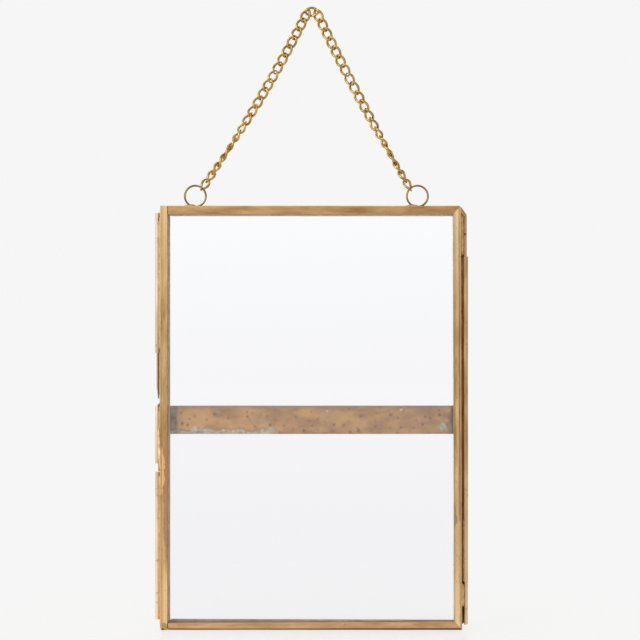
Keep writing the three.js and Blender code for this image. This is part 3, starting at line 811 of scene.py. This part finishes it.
def leaf_channels(name, body, faces, hinge_gap, seed):
    """A leaf's left side, and its other three sides in one piece, with corners, solder, and painted light
    and shade on some faces.
    """
    rim_low, rim_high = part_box(name + "_rim")
    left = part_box(name + "_side_rail")[0].x + CHANNEL_SKIN
    right = rim_high.x - CHANNEL_SKIN - hinge_gap
    bottom, top = rim_low.z + CHANNEL_SKIN, rim_high.z - CHANNEL_SKIN
    near, far = rim_low.y + CHANNEL_SKIN, rim_high.y - CHANNEL_SKIN
    inner_left = left + faces["left"]
    inner_right = right - faces["right"]
    inner_top = top - faces["top"]
    inner_bottom = bottom + faces["bottom"]

    front = name == "front"
    corner = right + HINGE_SIDE_LEAN * front
    taper = FRONT_FOOT_TAPER if front else BACK_FOOT_TAPER
    seam_left = inner_left + CORNER_SEAM
    # Back leaf margins: the pale tones are painted light that lifts the shade between the panes; the lower
    # one is grey
    margin_tones = (None, None, None) if front else (FOLD_SHADE_LIFT, PALER_FOLD_SHADE_LIFT, GREY_FOLD)
    side = channel_bar(
        (left, near, bottom), (inner_left, far, top), (1, 0, 0), LATCH_BRASS if front else SIDE_BRASS,
        seed, margin_tones[0])
    upper = channel_bar(
        (seam_left, near, inner_top), (right, far, top), (0, 0, -1), END_BRASS, seed + 1, margin_tones[1])
    upright = channel_bar(
        (inner_right, near, bottom), (right, far, top), (-1, 0, 0), SIDE_BRASS, seed + 2, margin_tones[0],
        creased=front)
    lower = channel_bar(
        (seam_left, near, bottom), (corner, far, inner_bottom), (0, 0, 1), FOOT_BRASS, seed + 3,
        margin_tones[2], taper=taper)
    # The upper bar's downward faces take a paler tone, painted light in their shade
    paint_faces(upper, PALER_FOLD_SHADE_LIFT, lambda place, normal: normal.z < -FACING)
    # The lower bar's underside gets painted shade
    paint_faces(lower, UNDER_SHADE, lambda place, normal: normal.z < -TURNED_FROM)
    if front:
        # The left upright's outer fold gets painted shade
        paint_faces(side, EDGE_SHADE, lambda place, normal: normal.y < 0
              and TURNED_FROM < -normal.x < TURNED_TO)
        # Painted shadow line on the front lower bar's inner lip
        paint_faces(lower, LIP_SHADOW, lambda place, normal: normal.z > FACING)

    low_right = Vector((faces["bottom"] + taper, 0, faces["right"])).normalized()
    top_right = Vector((faces["top"], 0, -faces["right"])).normalized()
    cut(lower, (corner, 0, bottom), low_right)
    cut(upright, (corner, 0, bottom), -low_right)
    cut(upper, (right, 0, top), top_right)
    cut(upright, (right, 0, top), -top_right)
    for bar, angles in ((upper, UPPER_CUTS), (upright, UPRIGHT_CUTS)):
        round_corner(bar, (right - CORNER_RADIUS, 0, top - CORNER_RADIUS), CORNER_RADIUS, angles)
    round_corner(
        side, (left + LOWER_CORNER_RADIUS, 0, bottom + LOWER_CORNER_RADIUS), LOWER_CORNER_RADIUS,
        LOWER_CUTS)
    if front:
        edge = solder_run(
            left, near + EDGE_ROLL_BEHIND_FACE, bottom + END_FOLD, top - END_FOLD, EDGE_ROLL,
            EDGE_ROLL_WAVE, seed + 4, LATCH_BRASS)
    else:
        edge = seam_run(
            "catch_pin", left - CATCH_RUN_OUT, CATCH_RUN_BACK, CATCH_RUN_RADIUS, seed + 4, PALE_SOLDER_AND_RIM_LIGHT)
        tube_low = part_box("back_catch_tube_top")[0]
        cut(edge, (0, 0, tube_low.z + SOLDER_INSET), (0, 0, 1))
    rail = join(name + "_side_channel", [side, edge])
    rim = [upper, upright, lower]
    if not front:
        # The run behind the hinge wire is dark: painted shade in the hinge's groove
        rim.append(seam_run(
            "hinge_pin", right + HINGE_RUN_OUT, HINGE_RUN_BACK, HINGE_RUN_RADIUS, seed + 5, UNDER_SHADE))
    rim = join(name + "_rim_channel", rim)
    for piece, node in ((rail, name + "_side_rail"), (rim, name + "_rim")):
        smooth(piece)
        flatten(piece)
        stand_for(piece, node, body)


def seam_run(wire, x, back, radius, seed, finish):
    """A run of solder down the back leaf's outer side, behind a wire."""
    low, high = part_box(wire)
    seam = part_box("front_rim")[1].y
    return solder_run(
        x, seam + back, low.z + RUN_INSET, high.z - RUN_INSET, radius, FLUX_LUMP, seed, finish)


def round_corner(bar, centre, radius, angles):
    """Takes the point off a corner with a few flat cuts round its radius."""
    for degrees in angles:
        way = Vector((math.cos(math.radians(degrees)), 0, math.sin(math.radians(degrees))))
        cut(bar, Vector(centre) + way * radius, way)


leaf_channels("front", "front_leaf", FRONT_FACES, FRONT_HINGE_GAP, 1)
leaf_channels("back", "back_leaf", BACK_FACES, 0.0, 7)


# Tubes down both sides

def tube_shell(x, y, low, high, radius):
    """The outside of an upright tube, open at both ends."""
    shell = rod(x, y, low, high, radius - TUBE_DENT / 2, TUBE_SIDES, "NOTHING")
    divide_along(shell, 2, TUBE_STEP)
    return shell


def tube_wall(shell, seed):
    """Dents a tube a little and gives it a wall."""
    lumps(shell, TUBE_DENT, TUBE_DENT_LENGTH, seed)
    wall = shell.modifiers.new("wall", "SOLIDIFY")
    wall.thickness = TUBE_WALL
    wall.offset = -1
    bpy.ops.object.modifier_apply(modifier=wall.name)


def solder_smear():
    """Solder that has run over the front leaf's side, past the lower end of its catch tube."""
    smear = solder_blob(SMEAR_CENTRE, SMEAR_HALF, SMEAR_STEPS, SMEAR_TILT)
    lumps(smear, SMEAR_LUMP, SOLDER_LUMP_LENGTH, 17)
    dress(smear, PALE_SOLDER_AND_RIM_LIGHT)
    return smear


def corner_solder():
    """Solder that fills the corner between the front leaf's upper edge and its upper hinge tube."""
    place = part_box("front_rim")[1] + Vector(CORNER_SOLDER_FROM_CORNER)
    fill = solder_blob(place, CORNER_SOLDER_HALF, CORNER_SOLDER_STEPS, CORNER_SOLDER_TILT)
    lumps(fill, CORNER_SOLDER_LUMP, SOLDER_LUMP_LENGTH, 19)
    dress(fill, HINGE_SOLDER)
    return fill


def tube_fill(x, y, low, high, place, radius, seed, finish):
    """Solder down the front of a tube, placed by its distance and turn from the tube's middle."""
    away, turn = place
    return solder_run(
        x + away * math.cos(turn), y + away * math.sin(turn), low, high, radius, radius, seed, finish)


def solder_drip(end):
    """A drip of solder below the end of the front leaf's catch tube, in front of the wire's way."""
    return solder_run(
        *DRIP_PLACE, end - DRIP_DOWN, end + DRIP_UP, DRIP_RADIUS, FLUX_LUMP, 23, HINGE_SOLDER)


def side_tube(
        node, body, side, leaf, seed, radius=TUBE_RADIUS, inwards=0.0, bevel=0.0, solder=(0.0, 1.0)):
    """A length of tube, with solder from one share of its length to another.

    side is -1 for the catch and 1 for the hinge, and leaf is -1 for the front and 1 for the back.
    """
    low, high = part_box(node)
    outer = low.x + TUBE_RADIUS + inwards if side < 0 else high.x - TUBE_RADIUS - inwards
    seam = (low.y + high.y) / 2
    reach = KNUCKLE_REACH if node == "back_hinge_knuckle" else 0.0
    foot = LOW_KNUCKLE_REACH if node == "front_hinge_knuckle_bottom" else reach
    shell = tube_shell(outer, seam, low.z - foot, high.z + reach, radius)
    if bevel:
        slope = Vector((-bevel, 0, 2 * radius)).normalized()
        cut(shell, (outer + radius, 0, high.z), slope, fill=False)
    tube_wall(shell, seed)
    edge = high.x if side < 0 else low.x - FRONT_HINGE_GAP * (leaf < 0)
    wall = outer - side * radius
    soldered = high.z - low.z - 2 * SOLDER_INSET
    thick = abs(wall - edge) / 2 + SOLDER_GRIP
    # On the catch side the bead's pale solder paints a bright rim beside the tube
    bead = solder_run(
        (edge + wall) / 2, seam + leaf * max(SOLDER_FROM_SEAM, thick + SOLDER_CLEAR),
        low.z + SOLDER_INSET + soldered * solder[0], low.z + SOLDER_INSET + soldered * solder[1],
        thick, SOLDER_LUMP, seed + 0.5, PALE_SOLDER_AND_RIM_LIGHT if side < 0 else HINGE_SOLDER)
    dress(shell, PAINTED_LIT_TUBE if side < 0 else HINGE_BRASS)
    parts = [shell, bead]
    # The pale fill before the catch tube's crevice paints a bright rim there
    if side < 0:
        parts.append(tube_fill(
            outer, seam, low.z + KNUCKLE_BEVEL, high.z - KNUCKLE_BEVEL, LATCH_FILL_PLACE,
            LATCH_FILL_RADIUS, seed + 0.2, PALE_SOLDER_AND_RIM_LIGHT))
    if node == "front_catch_knuckle":
        parts += [solder_smear(), solder_drip(low.z)]
    if node == "front_hinge_knuckle_top":
        parts.append(corner_solder())
    if node == "back_hinge_knuckle":
        parts.append(tube_fill(
            outer, seam, low.z, low.z + (high.z - low.z) * HINGE_FILL_SHARE, HINGE_FILL_PLACE,
            HINGE_FILL_RADIUS, seed + 0.3, HINGE_SOLDER))
    # A dark run deep in the groove below the lower knuckle: painted shade
    if solder[0]:
        parts.append(solder_run(
            (edge + wall) / 2, seam + leaf * FLUX_FROM_SEAM, low.z - SOLDER_INSET,
            low.z + SOLDER_INSET + soldered * solder[0], abs(wall - edge) / 2, FLUX_LUMP, seed + 0.7,
            UNDER_SHADE))
    piece = join(node + "_drawn", parts)
    smooth(piece)
    stand_for(piece, node, body)


side_tube(
    "front_hinge_knuckle_top", "front_leaf", 1, -1, 3, TOP_KNUCKLE_RADIUS, TOP_KNUCKLE_INWARDS,
    solder=TOP_KNUCKLE_SOLDER)
side_tube(
    "front_hinge_knuckle_bottom", "front_leaf", 1, -1, 4, LOW_KNUCKLE_RADIUS, LOW_KNUCKLE_INWARDS,
    solder=LOW_KNUCKLE_SOLDER)
side_tube("back_hinge_knuckle", "back_leaf", 1, 1, 5)
side_tube("back_catch_tube_top", "back_leaf", -1, 1, 6, LATCH_TUBE_RADIUS, LATCH_TUBE_INWARDS)
side_tube(
    "front_catch_knuckle", "front_leaf", -1, -1, 8, LATCH_TUBE_RADIUS, LATCH_TUBE_INWARDS, KNUCKLE_BEVEL)
side_tube("back_catch_tube_bottom", "back_leaf", -1, 1, 9, LATCH_TUBE_RADIUS, LATCH_TUBE_INWARDS)


def hinge_wire():
    """The hinge's wire, with a small riveted head at each end."""
    low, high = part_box("hinge_pin")
    middle = (low + high) / 2
    wire = rod(
        middle.x, middle.y, low.z + HEAD_HEIGHT, high.z - HEAD_HEIGHT, HINGE_WIRE_RADIUS, WIRE_SIDES)
    wire.name = "hinge_wire"
    edit(wire)
    for end in (-1, 1):
        pick("FACE", lambda place, normal: normal.z * end > FACING and (place.z - middle.z) * end > 0)
        bpy.ops.mesh.extrude_region_move()
        bpy.ops.transform.resize(value=(HEAD_WIDER, HEAD_WIDER, 1))
        bpy.ops.mesh.extrude_region_move(TRANSFORM_OT_translate={"value": (0, 0, end * HEAD_HEIGHT)})
        bpy.ops.transform.resize(value=(HEAD_ROUNDING, HEAD_ROUNDING, 1))
    leave()
    dress(wire, HINGE_BRASS)
    smooth(wire)
    stand_for(wire, "hinge_pin", "back_leaf")


def catch_wire():
    """The catch's loose wire: its filed tip hangs out of the upper tube, above the front leaf's tube."""
    low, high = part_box("catch_pin")
    middle = (low + high) / 2
    radius = (high.y - low.y) / 2
    wire = rod(middle.x, middle.y, low.z, high.z, radius - WIRE_DENT / 2, WIRE_SIDES)
    wire.name = "catch_wire"
    divide_along(wire, 2, TUBE_STEP)
    slope = Vector((-WIRE_BEVEL, 0, WIRE_TIP - 2 * radius)).normalized()
    cut(wire, (middle.x + radius - WIRE_TIP, 0, low.z), slope)
    lumps(wire, WIRE_DENT, TUBE_DENT_LENGTH, 10)
    dress(wire, WIRE_BRASS)
    smooth(wire)
    stand_for(wire, "catch_pin", "catch_pin")


hinge_wire()
catch_wire()


# Strip behind the rear pane

def rear_strip():
    """The flat strip, slightly wavy, with a bead of solder at each end."""
    low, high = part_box("cross_strip")
    strip = block("rear_strip", low, high - Vector((0, STRIP_WAVE / 2, 0)))
    edit(strip)
    bpy.ops.mesh.select_all(action="SELECT")
    bpy.ops.mesh.bevel(offset=STRIP_EDGE, segments=STRIP_EDGE_STEPS, affect="EDGES")
    leave()
    divide_along(strip, 0, STRIP_STEP)
    divide_along(strip, 2, STRIP_STEP)
    lumps(strip, STRIP_WAVE, STRIP_WAVE_LENGTH, 12)
    dress(strip, STRIP_BRASS)
    beads = []
    for end, seed in ((low.x - STRIP_BEAD, 21), (high.x + STRIP_BEAD, 22)):
        beads.append(solder_run(
            end, low.y + STRIP_BEAD, low.z + STRIP_EDGE, high.z - STRIP_EDGE, STRIP_BEAD, STRIP_BEAD,
            seed, STRIP_SOLDER))
    strip = join("rear_strip", [strip] + beads)
    smooth(strip)
    stand_for(strip, "cross_strip", "back_leaf")


rear_strip()


# Rings

def foot_solder(x, y, top, seed):
    """The low pad of solder that holds a ring on the leaf's upper edge."""
    pad = solder_blob((x, y, top), PAD_HALF, PAD_STEPS)
    cut(pad, (x, y, top), (0, 0, -1))
    lumps(pad, PAD_LUMP, PAD_LUMP_LENGTH, seed)
    dress(pad, HINGE_SOLDER)
    return pad


def hanging_ring(node, seed):
    """A ring of wire, cut off where it sinks into its pad of solder."""
    low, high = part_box(node)
    centre = Vector(((low.x + high.x) / 2, (low.y + high.y) / 2, low.z + RING_RISE))
    fresh()
    bpy.ops.mesh.primitive_torus_add(
        major_radius=RING_RADIUS, minor_radius=RING_WIRE / 2, major_segments=RING_STEPS,
        minor_segments=RING_SIDES, location=centre, rotation=(math.pi / 2, 0, 0))
    ring = settle(bpy.context.object)
    cut(ring, (0, 0, low.z), (0, 0, -1))
    dress(ring, RING_BRASS)
    ring = join(node + "_wire", [ring, foot_solder(centre.x + PAD_FROM_MIDDLE, centre.y, low.z, seed)])
    smooth(ring)
    stand_for(ring, node, "back_leaf")


hanging_ring("ring_left", 31)
hanging_ring("ring_right", 33)


# Curb chain

def curb_link(worn):
    """One link along X: an oval of wire, twisted a quarter turn, its bows worn to a share of the wire."""
    fresh()
    bpy.ops.mesh.primitive_circle_add(vertices=LINK_STEPS, radius=1)
    link = bpy.context.object
    link.scale = (LINK_HALF_LENGTH, LINK_HALF_WIDTH, 1)
    settle(link)
    twist = link.modifiers.new("twist", "SIMPLE_DEFORM")
    twist.deform_method = "TWIST"
    twist.deform_axis = "X"
    twist.angle = LINK_TWIST
    bpy.ops.object.modifier_apply(modifier=twist.name)
    bpy.ops.object.convert(target="CURVE")
    for point in link.data.splines[0].points:
        out = max(0.0, abs(point.co.x) / LINK_HALF_LENGTH - BOW_FROM) / (1 - BOW_FROM)
        point.radius = 1 - (1 - worn) * min(1.0, 2 * out)
    link.data.bevel_depth = LINK_WIRE / 2
    link.data.bevel_resolution = LINK_ROUNDING
    bpy.ops.object.convert(target="MESH")
    smooth(link, LINK_SMOOTH_ANGLE)
    return link


def link_place(node):
    """A link's place and turn, read from its solid, for a link that lies along X, its width along Y."""
    mesh = frame["nodes"][node].data
    points = numpy.empty(len(mesh.vertices) * 3)
    mesh.vertices.foreach_get("co", points)
    points = points.reshape(-1, 3)
    unique = numpy.unique(points.round(LINK_DIGITS), axis=0)
    middle = unique.mean(axis=0)
    ways = numpy.linalg.eigh(numpy.cov((unique - middle).T))[1]
    along, across = Vector(ways[:, 2]), Vector(ways[:, 1])
    out = along.cross(across)
    turn = Matrix((along, across, out)).transposed().to_4x4()
    return Matrix.Translation(Vector(middle)) @ turn


def chain():
    """All links, with thinner bows where the chain folds or swings in a ring."""
    plain, worn = curb_link(1.0), curb_link(BOW_WORN)
    for body, nodes in frame["record"]["behaviour"]["bodies"].items():
        links = {node: int(node.removeprefix("link_")) for node in nodes if node.startswith("link_")}
        for node, number in links.items():
            model = plain if {number - 1, number + 1} <= set(links.values()) else worn
            link = model.copy()
            link.data = model.data.copy()
            bpy.context.scene.collection.objects.link(link)
            link.name = node + "_wire"
            link.data.transform(link_place(node))
            dress(link, CHAIN_BRASS)
            stand_for(link, node, body)
    bpy.data.objects.remove(plain)
    bpy.data.objects.remove(worn)


chain()

# CAD nodes that stay: the panes
for node in ("front_pane", "back_pane"):
    dress(frame["nodes"][node], GLASS)


# Floor, light and camera

def floor():
    """A pale, faintly shining floor that keeps the frame's soft shadow close by and fades out far off."""
    low, high = cad_box
    middle = (low + high) / 2
    fresh()
    bpy.ops.mesh.primitive_plane_add(size=FLOOR_SIZE, location=(middle.x, middle.y, low.z - FLOOR_BELOW))
    ground = settle(bpy.context.object)
    ground.name = "floor"
    material, tree = new_material("pale_floor_paper")
    place = add(tree, "TexCoord", {}).outputs["Object"]
    flat = add(tree, "Mapping", {
        "Vector": place, "Location": (-middle.x, -middle.y, 0), "Scale": (1, 1, 0)})
    distance = add(tree, "VectorMath", {0: flat}, operation="LENGTH")
    keeps = add(tree, "MapRange", {
        "Value": distance, "From Min": SHADOW_REACH[0], "From Max": SHADOW_REACH[1],
        "To Min": FLOOR_GLOW}, interpolation_type="SMOOTHSTEP")
    path = add(tree, "LightPath", {})
    through = add(tree, "Math", {
        0: path.outputs["Is Transmission Ray"], 1: path.outputs["Is Glossy Ray"]}, operation="MAXIMUM")
    seen = add(tree, "Math", {0: path.outputs["Is Camera Ray"], 1: through}, operation="MAXIMUM")
    share = add(tree, "Math", {0: seen, 1: keeps}, operation="MULTIPLY")
    far = add(tree, "MapRange", {"Value": distance, "From Min": FAR_FLOOR[0], "From Max": FAR_FLOOR[1]})
    behind = add(tree, "Mix", {
        0: far, 6: colour(THROUGH_GLASS_NEAR), 7: colour(THROUGH_GLASS_LEVEL)}, data_type="RGBA")
    tone = add(tree, "Mix", {
        0: path.outputs["Is Camera Ray"], 6: behind, 7: colour(BACKGROUND)}, data_type="RGBA")
    paper = add(tree, "BsdfPrincipled", {"Base Color": colour(FLOOR_PAPER), "Roughness": FLOOR_SHEEN})
    glow = add(tree, "Emission", {"Color": tone, "Strength": 1.0})
    mixed = add(tree, "MixShader", {0: share, 1: paper, 2: glow})
    add(tree, "OutputMaterial", {"Surface": mixed})
    dress(ground, material)


def pale_world():
    """Near white where the background shows; as light, a white studio, dimmer at lower right front."""
    world = bpy.data.worlds.new("pale_studio")
    bpy.context.scene.world = world
    world.use_nodes = True
    tree = world.node_tree
    tree.nodes.clear()
    way = add(tree, "TexCoord", {}).outputs["Generated"]
    path = add(tree, "LightPath", {})
    facing = add(tree, "VectorMath", {0: way, 1: STUDIO_LIGHT_FROM}, operation="DOT_PRODUCT")
    studio = add(tree, "MapRange", {
        "Value": facing, "From Min": -STUDIO_TURN, "From Max": STUDIO_TURN, "To Min": STUDIO_DIM},
        interpolation_type="SMOOTHSTEP")
    parts = add(tree, "SeparateXYZ", {"Vector": way})
    behind = add(tree, "MapRange", {
        "Value": parts.outputs["Y"], "From Min": BEHIND_FRAME[0], "From Max": BEHIND_FRAME[1]})
    level = add(tree, "Math", {0: studio, 1: behind}, operation="MAXIMUM")
    light = add(tree, "Background", {"Color": colour(STUDIO_WHITE), "Strength": level})
    rising = add(tree, "MapRange", {
        "Value": parts.outputs["Z"], "From Min": HORIZON[0], "From Max": HORIZON[1]})
    clear = add(tree, "Mix", {
        0: rising, 6: colour(THROUGH_GLASS_LEVEL), 7: colour(THROUGH_GLASS_HIGH)}, data_type="RGBA")
    tone = add(tree, "Mix", {
        0: path.outputs["Is Camera Ray"], 6: clear, 7: colour(BACKGROUND)}, data_type="RGBA")
    shown = add(tree, "Background", {"Color": tone, "Strength": 1.0})
    seen = add(tree, "Math", {
        0: path.outputs["Is Camera Ray"], 1: path.outputs["Is Transmission Ray"]}, operation="MAXIMUM")
    mixed = add(tree, "MixShader", {0: seen, 1: light, 2: shown})
    add(tree, "OutputWorld", {"Surface": mixed})


def softbox(name, place, target, size, watts):
    """A square lamp that faces a place."""
    lamp = bpy.data.lights.new(name, "AREA")
    lamp.shape = "SQUARE"
    lamp.size = size
    lamp.energy = watts
    box = bpy.data.objects.new(name, lamp)
    bpy.context.scene.collection.objects.link(box)
    box.location = place
    box.rotation_euler = (Vector(target) - Vector(place)).to_track_quat("-Z", "Y").to_euler()


def camera():
    """Level, straight before the frame, placed so that the front leaf falls on its pixels."""
    low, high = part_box("front_rim")
    leaf_middle = (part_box("front_side_rail")[0].x + high.x) / 2
    half = IMAGE_PIXELS / 2
    x = leaf_middle + (half - LEAF_CENTRE_PIXEL) * PIXEL_AT_FRONT
    z = low.z + (LEAF_BOTTOM_PIXEL - half) * PIXEL_AT_FRONT
    lens = bpy.data.cameras.new("camera")
    lens.sensor_width = SENSOR
    lens.lens = CAMERA_DISTANCE * SENSOR / (IMAGE_PIXELS * PIXEL_AT_FRONT)
    view = bpy.data.objects.new("camera", lens)
    bpy.context.scene.collection.objects.link(view)
    view.location = (x, low.y - CAMERA_DISTANCE, z)
    view.rotation_euler = (math.pi / 2, 0, 0)
    bpy.context.scene.camera = view


floor()
pale_world()
for lamp in SOFTBOXES:
    softbox(*lamp)
camera()
bpy.context.scene.view_settings.view_transform = "Standard"
